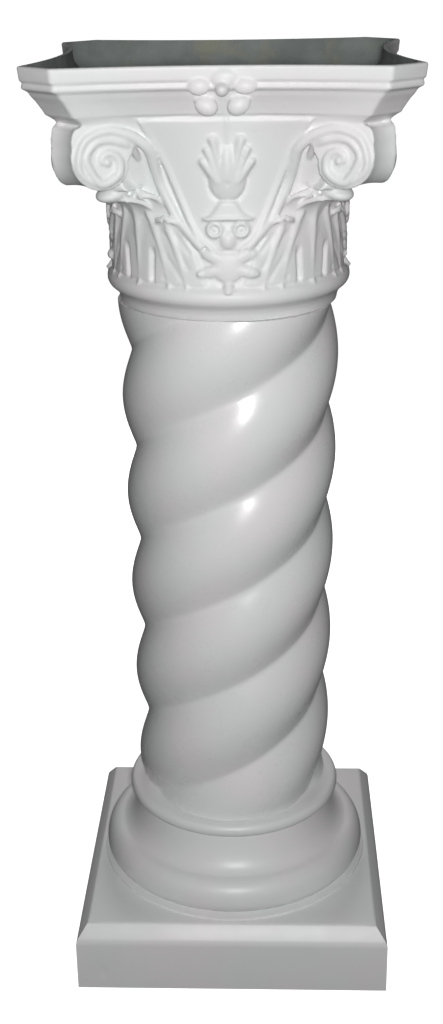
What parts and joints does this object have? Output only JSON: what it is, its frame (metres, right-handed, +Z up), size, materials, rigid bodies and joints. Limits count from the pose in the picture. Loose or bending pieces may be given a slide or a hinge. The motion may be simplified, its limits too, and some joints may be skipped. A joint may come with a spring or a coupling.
{
  "type": "column pedestal",
  "caption": "Column pedestal: square base with round mouldings, twisted shaft, and leafy capital with corner scrolls and an open top.",
  "frame": {"origin": "middle of the plinth's underside, on the floor", "axes": "+Z up along the shaft, -Y towards the viewer, +X to the viewer's right"},
  "size_m": [0.3656, 0.3656, 0.9993],
  "materials": {
    "white_shell": "glass-fibre reinforced resin shell with a semi-gloss white gel coat outside, raw grey-green inside"
  },
  "bodies": {
    "root": {"base": "white_shell", "shaft": "white_shell", "capital": "white_shell"}
  },
  "joints": []
}
